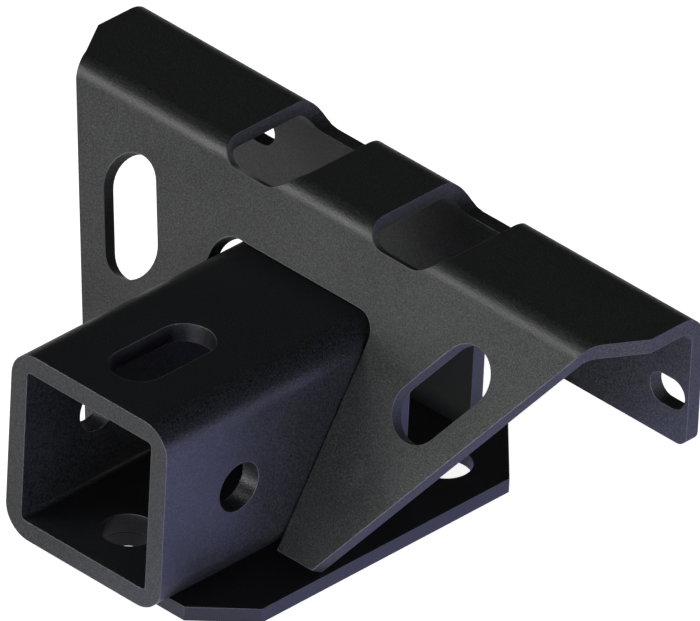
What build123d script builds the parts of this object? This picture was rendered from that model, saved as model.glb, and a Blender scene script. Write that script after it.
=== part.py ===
from build123d import *
import os
from math import atan2, cos, degrees, pi, radians, sin, sqrt, tan

# A welded receiver bracket. A square receiver tube passes through a folded sheet
# and sits on a flat base plate, and a small upright ties the sheet to the plate.
# X runs across the bracket, Y back along the tube and Z up, in millimetres.
# The origin is where the hitch pin's axis crosses the tube's centre line.

# Receiver tube, with setbacks measured back from its mouth
socket_width = 50.8
socket_corner = 1.6
tube_wall = 6.35
tube_corner = 9.5
tube_length = 101.6
pin_setback = 31.0
pin_hole_diameter = 16.0
top_slot_setback = 29.6
top_slot_length = 37.0
top_slot_width = 18.0
floor_hole_setback = 19.1
floor_hole_diameter = 17.0

# Folded sheet: a front panel that leans back, a level top panel and a rear flange
sheet_thickness = 4.76
bend_radius = 4.0
neutral_share = 0.4
lean = 30.7
foot_setback = 52.0
foot_width = 93.0
top_height = 54.0
top_width = 225.8
top_end_depth = 22.4
flange_setback = 137.6
flange_depth = 45.5
flange_corner = 4.0
notch_clearance = 0.4
notch_corner = 7.5

# Cut-outs of the folded sheet
window_width = 29.0
window_spacing = 59.4
window_corner = 8.5
panel_slot_length = 37.6
panel_slot_width = 18.8
panel_slot_spacing = 127.0
panel_slot_rise = 64.2
flange_slot_length = 14.0
flange_slot_width = 10.0
outer_slot_inset = 8.5
outer_slot_drop = 29.6
inner_slot_spacing = 126.7
inner_slot_drop = 19.3

# Base plate and upright
base_thickness = 4.76
base_setback = 9.5
base_length = 144.2
base_width = 97.0
base_front_chamfer = 16.0
base_rear_chamfer = 25.4
base_hole_diameter = 17.0
base_hole_spacing = 59.6
base_hole_inset = 33.5
upright_thickness = 4.76
upright_lap = 20.0

# Welds
weld_leg = 5.0
weld_bulge = 0.5
weld_end_gap = 2.0
groove_root_gap = 0.6
groove_toe = 1.0
groove_face_angle = 30.0

# Places on the tube
tube_width = socket_width + 2 * tube_wall
tube_half = tube_width / 2
tube_flat_half = tube_half - tube_corner
tube_bottom_z = -tube_half
mouth_y = -pin_setback
tube_end_y = mouth_y + tube_length

# Places on the folded sheet. A heading is the angle at which the sheet runs on
# from its foot, 0 being level and straight back.
foot_y = mouth_y + foot_setback
flange_y = mouth_y + flange_setback
outer_bend_radius = bend_radius + sheet_thickness
middle_radius = bend_radius + sheet_thickness / 2
neutral_radius = bend_radius + neutral_share * sheet_thickness
front_heading = pi / 2 - radians(lean)
top_heading = 0.0
flange_heading = -pi / 2
bend_z = top_height - outer_bend_radius
rear_bend_y = flange_y - outer_bend_radius
front_panel_rise = bend_z - tube_bottom_z
front_bend_y = foot_y + (front_panel_rise * cos(front_heading) + bend_radius) / sin(front_heading)

# Stations along the flat blank, counted from the foot and over both bends
front_bend_start = ((front_bend_y - foot_y) * cos(front_heading)
                    + front_panel_rise * sin(front_heading))
front_bend_end = front_bend_start + neutral_radius * front_heading
rear_bend_start = front_bend_end + rear_bend_y - front_bend_y
rear_bend_end = rear_bend_start - neutral_radius * flange_heading
flange_length = flange_depth - outer_bend_radius
full_width_station = front_bend_end + flange_y - top_end_depth - front_bend_y
edge_slope = (top_width - foot_width) / 2 / full_width_station
edge_angle = degrees(atan2(1, edge_slope))
cut_margin = 1.0
steps_per_bend = 8

# The upright is as wide as the base plate's narrow rear end
upright_width = base_width - 2 * base_rear_chamfer
upright_top_z = top_height - flange_depth + upright_lap


def run_plane(heading, y, z):
    """A plane on the sheet's inner face: its y runs on and its z points outwards."""
    return Plane(origin=(0, y, z), x_dir=(1, 0, 0), z_dir=(0, -sin(heading), cos(heading)))


def cross_plane(heading, y, z):
    """A plane across the sheet: its y points outwards through the thickness."""
    return Plane(origin=(0, y, z), x_dir=(1, 0, 0), z_dir=(0, -cos(heading), -sin(heading)))


def half_width(station):
    """Half the blank's width: straight slanted edges up to the full width."""
    return foot_width / 2 + edge_slope * min(station, full_width_station)


def window_inset(station):
    """How far a window's rounded corner comes in at a station."""
    reach = min(station - front_bend_start, rear_bend_end - station)
    if reach >= window_corner:
        return 0.0
    return window_corner - sqrt(window_corner**2 - (window_corner - max(reach, 0.0)) ** 2)


def blank_span(station):
    return -half_width(station), half_width(station)


def window_span(station):
    low = window_spacing / 2 - window_width / 2 + window_inset(station)
    return low, window_spacing - low


def bend_stations(start, end):
    """Stations over a bend, closer together towards its start and its end."""
    turns = [pi * step / steps_per_bend for step in range(steps_per_bend + 1)]
    return [start + (end - start) * (1 - cos(turn)) / 2 for turn in turns]


def bent_strip(axis_y, heading, start, end, span):
    """A strip curled round a bend's axis, with its edges where span says."""
    sections = []
    for station in bend_stations(start, end):
        turned = heading - (station - start) / neutral_radius
        low, high = span(station)
        section = Rectangle(high - low, sheet_thickness + 2 * cut_margin)
        place = cross_plane(turned, axis_y, bend_z) * Pos((low + high) / 2, middle_radius)
        sections.append(place * section)
    return loft(sections, ruled=True)


def bend(axis_y, heading, start, end):
    """One bend of the sheet, trimmed to the blank's edges and its two windows."""
    section = cross_plane(heading, axis_y, bend_z) * Pos(0, middle_radius) * Rectangle(
        top_width, sheet_thickness)
    axis = Axis((0, axis_y, bend_z), (-1, 0, 0))
    solid = revolve(section, axis=axis, revolution_arc=degrees((end - start) / neutral_radius))
    window = bent_strip(axis_y, heading, start, end, window_span)
    solid = solid & bent_strip(axis_y, heading, start, end, blank_span)
    return solid - window - mirror(window, about=Plane.YZ)


def pair(spacing, height, sketch):
    """A sketch on the right and its mirror image on the left."""
    right = Pos(spacing / 2, height) * sketch
    return right + mirror(right, about=Plane.YZ)


def make_tube():
    """The receiver tube, with its pin hole, top slot and floor hole."""
    section = RectangleRounded(tube_width, tube_width, tube_corner)
    section -= RectangleRounded(socket_width, socket_width, socket_corner)
    tube = extrude(Plane.XZ.offset(pin_setback) * section, -tube_length)
    tube -= Cylinder(pin_hole_diameter / 2, tube_width + 2 * cut_margin, rotation=(0, 90, 0))
    slot = Pos(0, mouth_y + top_slot_setback) * SlotOverall(top_slot_length, top_slot_width, 90)
    tube -= extrude(slot, tube_half + cut_margin)
    floor_hole = Pos(0, mouth_y + floor_hole_setback) * Circle(floor_hole_diameter / 2)
    return tube - extrude(floor_hole, -tube_half - cut_margin)


def make_front_panel():
    """The leaning panel, notched over the tube and with a slot on each side."""
    foot_half = half_width(0)
    bend_half = half_width(front_bend_start)
    outline = Polygon(
        (-foot_half, 0), (foot_half, 0), (bend_half, front_bend_start),
        (-bend_half, front_bend_start), align=None)
    notch_height = (tube_width + notch_clearance) / sin(front_heading)
    notch = Rectangle(
        tube_width + 2 * notch_clearance, notch_height, align=(Align.CENTER, Align.MIN))
    notch = fillet(notch.vertices().group_by(Axis.Y)[-1], notch_corner)
    slot = SlotOverall(panel_slot_length, panel_slot_width, edge_angle)
    outline = outline - notch - pair(panel_slot_spacing, panel_slot_rise, slot)
    return extrude(run_plane(front_heading, foot_y, tube_bottom_z) * outline, sheet_thickness)


def make_top_panel():
    """The level panel, at full width behind the kinks of its edges."""
    start_half = half_width(front_bend_end)
    full_half = top_width / 2
    kink = full_width_station - front_bend_end
    length = rear_bend_start - front_bend_end
    outline = Polygon(
        (-start_half, 0), (start_half, 0), (full_half, kink), (full_half, length),
        (-full_half, length), (-full_half, kink), align=None)
    window = RectangleRounded(window_width, rear_bend_end - front_bend_start, window_corner)
    window_middle = (rear_bend_end + front_bend_start) / 2 - front_bend_end
    outline -= pair(window_spacing, window_middle, window)
    place = run_plane(top_heading, front_bend_y, top_height - sheet_thickness)
    return extrude(place * outline, sheet_thickness)


def make_flange():
    """The upright rear flange, with two pairs of bolt slots."""
    outline = Rectangle(top_width, flange_length, align=(Align.CENTER, Align.MIN))
    outline = fillet(outline.vertices().group_by(Axis.Y)[-1], flange_corner)
    slot = SlotOverall(flange_slot_length, flange_slot_width)
    outer_slot_spacing = top_width - 2 * outer_slot_inset
    outline -= pair(outer_slot_spacing, outer_slot_drop - outer_bend_radius, slot)
    outline -= pair(inner_slot_spacing, inner_slot_drop - outer_bend_radius, slot)
    place = run_plane(flange_heading, flange_y - sheet_thickness, bend_z)
    return extrude(place * outline, sheet_thickness)


def make_sheet():
    """The folded sheet in one piece: three flat panels and the two bends between."""
    front_bend = bend(front_bend_y, front_heading, front_bend_start, front_bend_end)
    rear_bend = bend(rear_bend_y, top_heading, rear_bend_start, rear_bend_end)
    return make_front_panel() + front_bend + make_top_panel() + rear_bend + make_flange()


def make_base():
    """The flat base plate with cut corners, a front hole and two rear holes."""
    outline = Rectangle(base_width, base_length, align=(Align.CENTER, Align.MIN))
    outline = chamfer(outline.vertices().group_by(Axis.Y)[0], base_front_chamfer)
    outline = chamfer(outline.vertices().group_by(Axis.Y)[-1], base_rear_chamfer)
    outline -= Pos(0, floor_hole_setback - base_setback) * Circle(floor_hole_diameter / 2)
    rear_hole = Circle(base_hole_diameter / 2)
    outline -= pair(base_hole_spacing, base_length - base_hole_inset, rear_hole)
    place = Pos(0, mouth_y + base_setback, tube_bottom_z)
    return extrude(place * outline, -base_thickness)


def make_upright():
    """The small plate that stands on the base plate against the flange's back."""
    height = upright_top_z - tube_bottom_z
    place = Pos(0, flange_y, tube_bottom_z)
    return place * Box(
        upright_width, upright_thickness, height, align=(Align.CENTER, Align.MIN, Align.MIN))


def weld(corner, along, across, opening, leg, length):
    """A run of fillet weld in a corner of the given opening angle."""
    foot = (leg, 0)
    head = (leg * cos(opening), leg * sin(opening))
    crown_reach = leg * cos(opening / 2) + weld_bulge
    crown = (crown_reach * cos(opening / 2), crown_reach * sin(opening / 2))
    face = make_face([Line((0, 0), foot), ThreePointArc(foot, crown, head), Line(head, (0, 0))])
    return extrude(Plane(origin=corner, x_dir=across, z_dir=along) * face, length)


def cross_weld(half_length, y, z, opening, leg):
    """A run across the bracket, on a face that it meets from behind."""
    reach = half_length - weld_end_gap
    return weld((-reach, y, z), (1, 0, 0), (0, 1, 0), opening, leg, 2 * reach)


def make_side_weld():
    """The run up the tube's right side, behind the front panel."""
    along = (0, cos(front_heading), sin(front_heading))
    low = weld_leg * cos(front_heading) + weld_end_gap
    start = (tube_corner + low) / sin(front_heading)
    end = (tube_width - tube_corner - weld_end_gap) / sin(front_heading)
    corner = (tube_half, foot_y + start * along[1], tube_bottom_z + start * along[2])
    return weld(corner, along, (1, 0, 0), pi / 2, weld_leg, end - start)


def make_foot_weld():
    """The run behind the front panel's right foot, on the base plate."""
    start = tube_half + notch_clearance + weld_end_gap
    length = foot_width / 2 - weld_end_gap - start
    corner = (start, foot_y, tube_bottom_z)
    return weld(corner, (1, 0, 0), (0, 1, 0), front_heading, weld_leg, length)


def make_groove_weld():
    """The run in the groove under the tube's right corner, behind the front panel."""
    face_angle = radians(groove_face_angle)
    face_x = tube_flat_half + tube_corner * cos(face_angle)
    face_z = -tube_flat_half - tube_corner * sin(face_angle)
    root_reach = sqrt(tube_corner**2 - (tube_corner - groove_root_gap) ** 2)
    root_x = tube_flat_half + root_reach
    groove = Polygon(
        (root_x, tube_bottom_z), (tube_half + groove_toe, tube_bottom_z),
        (face_x, face_z), (root_x, face_z), align=None)
    groove -= Pos(tube_flat_half, -tube_flat_half) * Circle(tube_corner)
    start_y = foot_y + weld_leg + weld_end_gap
    end_y = tube_end_y - weld_end_gap
    return extrude(Plane.XZ.offset(-start_y) * groove, start_y - end_y)


parts = {
    "receiver_tube": make_tube(),
    "bracket_sheet": make_sheet(),
    "base_plate": make_base(),
    "rear_upright": make_upright(),
    "weld_tube_top": cross_weld(
        tube_flat_half, foot_y + tube_width / tan(front_heading), tube_half,
        front_heading, weld_leg),
    "weld_tube_end": cross_weld(
        tube_flat_half, tube_end_y, tube_bottom_z, pi / 2, min(weld_leg, tube_wall)),
    "weld_upright_foot": cross_weld(
        upright_width / 2, flange_y + upright_thickness, tube_bottom_z, pi / 2, weld_leg),
    "weld_upright_top": cross_weld(
        upright_width / 2, flange_y, upright_top_z, pi / 2, min(weld_leg, upright_thickness)),
}

sided_welds = {
    "weld_tube_side": make_side_weld(),
    "weld_foot": make_foot_weld(),
    "weld_tube_groove": make_groove_weld(),
}
for name, right_weld in sided_welds.items():
    parts[name + "_right"] = right_weld
    parts[name + "_left"] = mirror(right_weld, about=Plane.YZ)

os.makedirs("parts", exist_ok=True)
for name, solid in parts.items():
    export_step(solid, f"parts/{name}.step")
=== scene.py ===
from math import cos, floor, pi, radians, sin, sqrt

import bmesh
import bpy
from mathutils import Matrix, Vector


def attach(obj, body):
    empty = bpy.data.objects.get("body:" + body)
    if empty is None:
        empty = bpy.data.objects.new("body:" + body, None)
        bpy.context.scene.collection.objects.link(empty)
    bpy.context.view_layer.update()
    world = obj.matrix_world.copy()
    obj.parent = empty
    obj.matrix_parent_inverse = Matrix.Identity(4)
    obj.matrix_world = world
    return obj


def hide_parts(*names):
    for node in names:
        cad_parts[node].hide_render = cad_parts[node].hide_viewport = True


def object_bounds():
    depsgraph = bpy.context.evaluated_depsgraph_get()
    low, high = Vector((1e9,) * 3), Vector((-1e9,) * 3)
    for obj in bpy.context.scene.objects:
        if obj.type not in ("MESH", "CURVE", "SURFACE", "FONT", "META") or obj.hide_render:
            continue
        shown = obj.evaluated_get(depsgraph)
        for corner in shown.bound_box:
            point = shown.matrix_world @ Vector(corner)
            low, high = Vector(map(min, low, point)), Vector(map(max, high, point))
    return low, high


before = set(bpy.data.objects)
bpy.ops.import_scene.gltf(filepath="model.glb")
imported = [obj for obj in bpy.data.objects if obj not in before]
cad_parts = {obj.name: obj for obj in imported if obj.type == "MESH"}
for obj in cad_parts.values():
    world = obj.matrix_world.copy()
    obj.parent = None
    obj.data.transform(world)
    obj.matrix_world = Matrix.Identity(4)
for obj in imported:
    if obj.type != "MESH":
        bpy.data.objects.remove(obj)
cad_low, cad_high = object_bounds()

# A welded receiver hitch in black powder coat. The square tube, the folded
# bracket sheet, the base plate and the rear upright are the frame's own nodes and
# get their finish here. The ten runs of weld are rebuilt with their ripples.
# X runs across the bracket, Y back along the tube and Z up, in metres.
mm = 0.001

# Camera: a long lens, aimed at the middle of the picture
picture_width = 700
camera_turn = radians(42.917)
camera_rise = radians(33.0741)
camera_roll = radians(2.9158)
camera_distance = 7.913
camera_aim = Vector((34.264, 40.572, 44.659)) * mm
pixels_per_mm = 3.4535
sensor_width = 36.0

# Floor. Its sheen in glossy surfaces is faint on the left and blue on the right, as the
# photograph's is, and changes between two places across it.
floor_size = 6.0
floor_gap = 0.02 * mm
floor_glow = 0.9
sheen_left = 0.25
sheen_right = 1.15
sheen_starts = -20 * mm
sheen_ends = 60 * mm

# Room: how bright the walls and the ceiling are, and how high the change is
wall_light = 0.06
ceiling_light = 0.02
wall_height = 0.05
ceiling_height = 0.45

# Lamps, all at one distance from the bracket
lamp_distance = 1.2
lamps = (  # name, turn and rise in degrees, width, height, brightness, colour
    ("bend_lamp", -48, 41, 0.6, 0.45, 5.6, "#ffffff"),
    ("front_strip", -12, 2.5, 0.8, 0.2, 15.8, "#ffffff"),
    ("near_right_strip", 22, 5, 0.7, 0.3, 7.4, "#ffffff"),
    ("right_strip", 70, 5, 0.7, 0.3, 9.5, "#e0e1ff"),
    ("side_strip", 98, 7, 0.7, 0.3, 6.0, "#d8d9ff"),
    ("back_lamp", 160, 8, 0.8, 0.3, 3.0, "#ffffff"),
)

# Powder coat: the sizes of its grit, its orange peel and its patches of gloss
grit_size = 0.45 * mm
grit_depth = 0.08 * mm
peel_size = 2.4 * mm
peel_depth = 0.06 * mm
peel_strength = 0.5
patch_size = 28 * mm
fleck_low = 0.4
fleck_high = 0.66
patch_low = 0.3
patch_high = 0.7
seed_step = Vector((0.13, 0.07, 0.11))
gloss_change = 0.05
coat_ior = 1.5
# Colour of the outside edges: partly thin powder, partly a painted highlight.
thin_powder_and_painted_highlight = "#5c5c63"

# Outside edges take a lighter colour, partly where the powder draws thin and partly as a painted
# highlight: their radius and how far a corner has to turn.
# A corner with less than this openness round it is an inside one, gets no painted highlight and
# stays black.
edge_radius = 0.55 * mm
edge_starts = 0.98
edge_full = 0.8
open_reach = 2.5 * mm
inside_corner = 0.7
outside_corner = 0.95
ray_samples = 6

# Cut faces of the folded sheet look across it, and its rolled faces never do
cut_starts = 0.1
cut_full = 0.4

# A Mix node's two colour sockets and its colour output
mix_first = 6
mix_second = 7
mix_colour = 2

# The front panel's lean, which the welds behind it follow, and the way that the
# welds under the tube's corners open
panel_lean = radians(30.7)
groove_spread = 2.1

# Ripples of the weld runs
ripple_pitch = 2.4 * mm
ripple_depth = 0.45 * mm
ripple_curl = 1.3 * mm
ripple_cuts = 7
face_share = 0.75
face_cuts = 7
end_length = 2.2 * mm
end_keep = 0.35
toe_angle = radians(40)
flat_angle = radians(0.5)
weld_tolerance = 0.001 * mm
level_tolerance = 0.01 * mm
cut_tolerance = 0.0001 * mm


def linear(hex_colour):
    """An sRGB hex colour as the linear colour that a socket takes."""
    channels = [int(hex_colour[i:i + 2], 16) / 255 for i in (1, 3, 5)]
    return [c / 12.92 if c <= 0.04045 else ((c + 0.055) / 1.055) ** 2.4
            for c in channels] + [1.0]


def add_node(tree, kind, sockets=None, **settings):
    """Adds a node with its settings. A socket gets a value, or a link from another node."""
    new = tree.nodes.new(kind)
    for name, value in settings.items():
        setattr(new, name, value)
    for socket, value in (sockets or {}).items():
        if isinstance(value, bpy.types.NodeSocket):
            tree.links.new(value, new.inputs[socket])
        else:
            new.inputs[socket].default_value = value
    return new


def empty_material(name):
    material = bpy.data.materials.new(name)
    material.use_nodes = True
    material.node_tree.nodes.clear()
    return material


def powder_coat(name, coat_hex, fleck_hex, roughness, seed, cut_grit=0.0):
    """Satin black polyester powder, sprayed on and baked. The powder melts into a
    fine orange peel with small flecks. Its outside edges are lighter in colour,
    partly where the powder draws thin and partly as a painted highlight. The
    grit is drawn coarser than the real powder's, so that it shows in the render.
    On faces cut by the laser the coat is rougher by cut_grit."""
    material = empty_material(name)
    tree = material.node_tree
    place = add_node(tree, "ShaderNodeTexCoord").outputs["Object"]
    place = add_node(tree, "ShaderNodeMapping", {
        "Vector": place, "Location": seed * seed_step}).outputs["Vector"]
    grain = add_node(tree, "ShaderNodeTexNoise", {
        "Vector": place, "Scale": 1 / grit_size, "Detail": 2.0, "Roughness": 0.6}).outputs["Fac"]
    peel = add_node(tree, "ShaderNodeTexNoise", {
        "Vector": place, "Scale": 1 / peel_size, "Detail": 2.0, "Roughness": 0.5}).outputs["Fac"]
    patch = add_node(tree, "ShaderNodeTexNoise", {
        "Vector": place, "Scale": 1 / patch_size, "Detail": 3.0, "Roughness": 0.55}).outputs["Fac"]
    rounded = add_node(tree, "ShaderNodeBevel", {
        "Radius": edge_radius}, samples=ray_samples).outputs["Normal"]
    flat = add_node(tree, "ShaderNodeNewGeometry").outputs["Normal"]
    facing = add_node(tree, "ShaderNodeVectorMath", {
        0: rounded, 1: flat}, operation="DOT_PRODUCT").outputs["Value"]
    edge = add_node(tree, "ShaderNodeMapRange", {
        "Value": facing, "From Min": edge_starts, "From Max": edge_full}).outputs["Result"]
    openness = add_node(tree, "ShaderNodeAmbientOcclusion", {
        "Distance": open_reach}, samples=ray_samples).outputs["AO"]
    edge = add_node(tree, "ShaderNodeMapRange", {
        "Value": openness, "From Min": inside_corner, "From Max": outside_corner,
        "To Max": edge}).outputs["Result"]
    fleck = add_node(tree, "ShaderNodeMapRange", {
        "Value": grain, "From Min": fleck_low, "From Max": fleck_high}).outputs["Result"]
    speckled = add_node(tree, "ShaderNodeMix", {
        "Factor": fleck, mix_first: linear(coat_hex), mix_second: linear(fleck_hex)},
        data_type="RGBA").outputs[mix_colour]
    # Outside edges get the lighter colour: partly thin powder, partly a painted highlight.
    colour = add_node(tree, "ShaderNodeMix", {
        "Factor": edge, mix_first: speckled, mix_second: linear(thin_powder_and_painted_highlight)},
        data_type="RGBA").outputs[mix_colour]
    gloss = add_node(tree, "ShaderNodeMapRange", {
        "Value": patch, "From Min": patch_low, "From Max": patch_high,
        "To Min": roughness - gloss_change,
        "To Max": roughness + gloss_change}).outputs["Result"]
    across = add_node(tree, "ShaderNodeSeparateXYZ", {"Vector": flat}).outputs["X"]
    across = add_node(tree, "ShaderNodeMath", {0: across}, operation="ABSOLUTE").outputs[0]
    cut_face = add_node(tree, "ShaderNodeMapRange", {
        "Value": across, "From Min": cut_starts, "From Max": cut_full,
        "To Max": cut_grit}).outputs["Result"]
    gloss = add_node(tree, "ShaderNodeMath", {0: gloss, 1: cut_face}, operation="ADD").outputs[0]
    dimpled = add_node(tree, "ShaderNodeBump", {
        "Height": peel, "Strength": peel_strength, "Distance": peel_depth,
        "Normal": rounded}).outputs["Normal"]
    gritty = add_node(tree, "ShaderNodeBump", {
        "Height": grain, "Strength": 1.0, "Distance": grit_depth,
        "Normal": dimpled}).outputs["Normal"]
    shader = add_node(tree, "ShaderNodeBsdfPrincipled", {
        "Base Color": colour, "Roughness": gloss, "IOR": coat_ior, "Normal": gritty})
    add_node(tree, "ShaderNodeOutputMaterial", {"Surface": shader.outputs["BSDF"]})
    return material


def seen_directly(tree):
    """One where the camera sees the surface, also through glass, and else nought."""
    path = add_node(tree, "ShaderNodeLightPath").outputs
    return add_node(tree, "ShaderNodeMath", {
        0: path["Is Camera Ray"], 1: path["Is Transmission Ray"]}, operation="MAXIMUM").outputs[0]


def make_floor():
    """A white floor that keeps the object's shadow."""
    mesh = bpy.data.meshes.new("studio_floor")
    shape = bmesh.new()
    bmesh.ops.create_grid(shape, x_segments=1, y_segments=1, size=floor_size / 2)
    bmesh.ops.translate(shape, verts=shape.verts, vec=(0, 0, cad_low.z - floor_gap))
    shape.to_mesh(mesh)
    shape.free()
    studio_floor = bpy.data.objects.new("studio_floor", mesh)
    bpy.context.scene.collection.objects.link(studio_floor)
    material = empty_material("white_floor")
    tree = material.node_tree
    paint = add_node(tree, "ShaderNodeBsdfDiffuse", {"Color": linear("#f2f2f2")})
    place = add_node(tree, "ShaderNodeTexCoord").outputs["Object"]
    across = add_node(tree, "ShaderNodeSeparateXYZ", {"Vector": place}).outputs["X"]
    right = add_node(tree, "ShaderNodeMapRange", {
        "Value": across, "From Min": sheen_starts, "From Max": sheen_ends}).outputs["Result"]
    tint = add_node(tree, "ShaderNodeMix", {
        "Factor": right, mix_first: linear("#ffffff"), mix_second: linear("#a9aafb")},
        data_type="RGBA").outputs[mix_colour]
    # Painted reflection: the floor glows only for glossy rays, faintly on the left and bluish on
    # the right, which puts a blue sheen on the object's right-facing faces.
    sheen = add_node(tree, "ShaderNodeMapRange", {
        "Value": right, "To Min": sheen_left, "To Max": sheen_right}).outputs["Result"]
    mirrored = add_node(tree, "ShaderNodeLightPath").outputs["Is Glossy Ray"]
    mirrored = add_node(tree, "ShaderNodeMath", {
        0: mirrored, 1: sheen}, operation="MULTIPLY").outputs[0]
    direct = add_node(tree, "ShaderNodeMath", {
        0: seen_directly(tree), 1: floor_glow}, operation="MULTIPLY").outputs[0]
    gleam = add_node(tree, "ShaderNodeEmission", {"Color": tint, "Strength": mirrored})
    glow = add_node(tree, "ShaderNodeEmission", {"Color": linear("#ffffff"), "Strength": direct})
    lit = add_node(tree, "ShaderNodeAddShader", {
        0: gleam.outputs["Emission"], 1: glow.outputs["Emission"]})
    both = add_node(tree, "ShaderNodeAddShader", {
        0: paint.outputs["BSDF"], 1: lit.outputs["Shader"]})
    add_node(tree, "ShaderNodeOutputMaterial", {"Surface": both.outputs["Shader"]})
    mesh.materials.append(material)


def make_world():
    """A dim room, a little lighter low down, with plain white for the camera."""
    world = bpy.data.worlds.new("studio")
    bpy.context.scene.world = world
    world.use_nodes = True
    tree = world.node_tree
    tree.nodes.clear()
    direction = add_node(tree, "ShaderNodeTexCoord").outputs["Generated"]
    height = add_node(tree, "ShaderNodeSeparateXYZ", {"Vector": direction}).outputs["Z"]
    fade = add_node(tree, "ShaderNodeMapRange", {
        "Value": height, "From Min": wall_height, "From Max": ceiling_height,
        "To Min": wall_light, "To Max": ceiling_light},
        interpolation_type="SMOOTHSTEP").outputs["Result"]
    room = add_node(tree, "ShaderNodeBackground", {"Color": linear("#ffffff"), "Strength": fade})
    white = add_node(tree, "ShaderNodeBackground", {"Color": linear("#ffffff"), "Strength": 1.0})
    both = add_node(tree, "ShaderNodeMixShader", {
        0: seen_directly(tree), 1: room.outputs["Background"], 2: white.outputs["Background"]})
    add_node(tree, "ShaderNodeOutputWorld", {"Surface": both.outputs["Shader"]})


def softbox(name, turn, rise, width, height, brightness, hex_colour):
    """An area lamp that faces the bracket. Turn runs from the mouth's side towards +X,
    rise is above level, both in degrees, and brightness is the lamp's own radiance."""
    lamp = bpy.data.lights.new(name, "AREA")
    lamp.shape = "RECTANGLE"
    lamp.size = width
    lamp.size_y = height
    lamp.color = linear(hex_colour)[:3]
    lamp.energy = brightness * pi * width * height
    box = bpy.data.objects.new(name, lamp)
    bpy.context.scene.collection.objects.link(box)
    turn = radians(turn)
    rise = radians(rise)
    back = Vector((sin(turn) * cos(rise), -cos(turn) * cos(rise), sin(rise)))
    box.location = (cad_low + cad_high) / 2 + back * lamp_distance
    box.rotation_euler = (-back).to_track_quat("-Z", "Y").to_euler()


def make_camera():
    """A long lens that looks down at the tube's mouth from its right."""
    back = Vector((cos(camera_rise) * sin(camera_turn), -cos(camera_rise) * cos(camera_turn),
                   sin(camera_rise)))
    level_right = Vector((0, 0, 1)).cross(back).normalized()
    level_up = back.cross(level_right)
    right = level_right * cos(camera_roll) + level_up * sin(camera_roll)
    up = level_up * cos(camera_roll) - level_right * sin(camera_roll)
    lens = bpy.data.cameras.new("photo_camera")
    lens.sensor_width = sensor_width
    lens.lens = sensor_width * pixels_per_mm / mm * camera_distance / picture_width
    lens.clip_start = camera_distance / 100
    lens.clip_end = camera_distance * 2
    camera = bpy.data.objects.new("photo_camera", lens)
    bpy.context.scene.collection.objects.link(camera)
    place = Matrix((right, up, back)).transposed().to_4x4()
    place.translation = camera_aim + back * camera_distance
    camera.matrix_world = place
    bpy.context.scene.camera = camera


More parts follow.
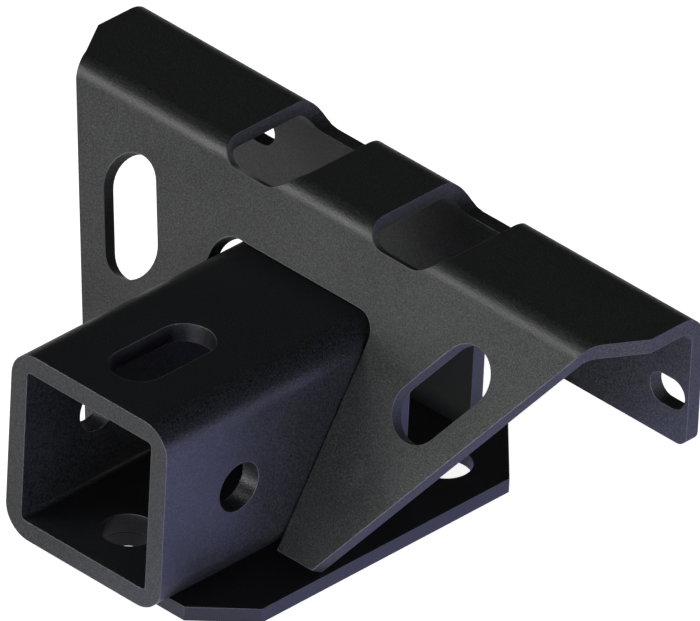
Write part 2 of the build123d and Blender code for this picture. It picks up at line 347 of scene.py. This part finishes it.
def weld_bead(node, along, open_side, material):
    """A run of weld with the ripples that each pool left as it set. The run keeps its
    node's own section, and its two ends are drawn in where the arc started and stopped."""
    along = Vector(along).normalized()
    open_side = Vector(open_side).normalized()
    sideways = along.cross(open_side)
    shape = bmesh.new()
    shape.from_mesh(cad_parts[node].data)
    bmesh.ops.remove_doubles(shape, verts=shape.verts, dist=weld_tolerance)
    bmesh.ops.dissolve_limit(
        shape, angle_limit=flat_angle, verts=shape.verts, edges=shape.edges)
    reaches = [vertex.co.dot(along) for vertex in shape.verts]
    start = min(reaches)
    end = max(reaches)
    root = min(shape.verts, key=lambda vertex: vertex.co.dot(open_side)).co.copy()
    lanes = [face for face in shape.faces if face.normal.dot(open_side) > face_share]
    rungs = {edge for face in lanes for edge in face.edges
             if abs((edge.verts[0].co - edge.verts[1].co).dot(along)) < level_tolerance}
    if len(lanes) == 1:
        bmesh.ops.subdivide_edges(shape, edges=list(rungs), cuts=face_cuts, use_grid_fill=True)
    step = ripple_pitch / ripple_cuts
    for cut in range(1, int((end - start) / step)):
        bmesh.ops.bisect_plane(
            shape, geom=shape.verts[:] + shape.edges[:] + shape.faces[:],
            plane_co=along * (start + cut * step), plane_no=along, dist=cut_tolerance)
    shape.normal_update()
    outer = {vertex for face in shape.faces if face.normal.dot(open_side) > face_share
             for vertex in face.verts}
    spread = [vertex.co.dot(sideways) for vertex in outer]
    middle = (max(spread) + min(spread)) / 2
    half = (max(spread) - min(spread)) / 2
    for vertex in shape.verts:
        reach = vertex.co.dot(along)
        if vertex in outer:
            crown = 1 - ((vertex.co.dot(sideways) - middle) / half) ** 2
            phase = (reach - start - ripple_curl * crown) / ripple_pitch
            pool = 1 - (2 * (phase - floor(phase)) - 1) ** 2
            if crown > 0:
                vertex.co -= open_side * ripple_depth * (1 - pool) * sqrt(crown)
        near = min(reach - start, end - reach) / end_length
        if near < 1:
            keep = end_keep + (1 - end_keep) * sqrt(1 - (1 - max(near, 0.0)) ** 2)
            centre = root + along * (reach - root.dot(along))
            vertex.co = centre + (vertex.co - centre) * keep
    shape.normal_update()
    for face in shape.faces:
        face.smooth = True
    for edge in shape.edges:
        if edge.is_manifold and edge.calc_face_angle() > toe_angle:
            edge.smooth = False
    mesh = bpy.data.meshes.new(node + "_bead")
    shape.to_mesh(mesh)
    shape.free()
    mesh.materials.clear()
    mesh.materials.append(material)
    bead = bpy.data.objects.new(node + "_bead", mesh)
    bpy.context.scene.collection.objects.link(bead)
    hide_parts(node)
    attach(bead, "root")


scene = bpy.context.scene
scene.view_settings.view_transform = "Standard"
make_floor()
make_world()
make_camera()

# The real parts wear one powder coat. Their base and fleck colours differ here only to match how
# bright each part looks in this light. This is painted light and shade: lighter on the folded sheet
# and the upright, darker on the tube and the base plate.
coats_with_painted_light_and_shade = {
    "receiver_tube": powder_coat("powder_coat_on_drawn_tube", "#0c0d0d", "#303134", 0.36, 1),
    "bracket_sheet": powder_coat("powder_coat_on_folded_sheet", "#161716", "#3a3b3a", 0.36, 2, 0.3),
    "base_plate": powder_coat("powder_coat_on_flat_plate", "#0c0c0c", "#1e1e1e", 0.42, 3),
    "rear_upright": powder_coat("powder_coat_on_cut_strip", "#161716", "#2a2b2a", 0.44, 4),
}
for node, material in coats_with_painted_light_and_shade.items():
    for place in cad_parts[node].material_slots:
        place.material = material

panel_rise = pi / 2 - panel_lean
foot_open = (0, cos(panel_rise / 2), sin(panel_rise / 2))
square_open = (0, 1, 1)
bead_coat = powder_coat("powder_coat_on_weld", "#161717", "#2a2b2b", 0.42, 5)
weld_bead("weld_tube_top", (1, 0, 0), foot_open, bead_coat)
weld_bead("weld_tube_end", (1, 0, 0), square_open, bead_coat)
weld_bead("weld_upright_foot", (1, 0, 0), square_open, bead_coat)
weld_bead("weld_upright_top", (1, 0, 0), square_open, bead_coat)
for side, sign in (("right", 1), ("left", -1)):
    weld_bead("weld_tube_side_" + side, (0, cos(panel_rise), sin(panel_rise)),
              (sign, sin(panel_rise), -cos(panel_rise)), bead_coat)
    weld_bead("weld_foot_" + side, (1, 0, 0), foot_open, bead_coat)
    weld_bead("weld_tube_groove_" + side, (0, 1, 0), (sign * groove_spread, 0, 1), bead_coat)

for lamp in lamps:
    softbox(*lamp)
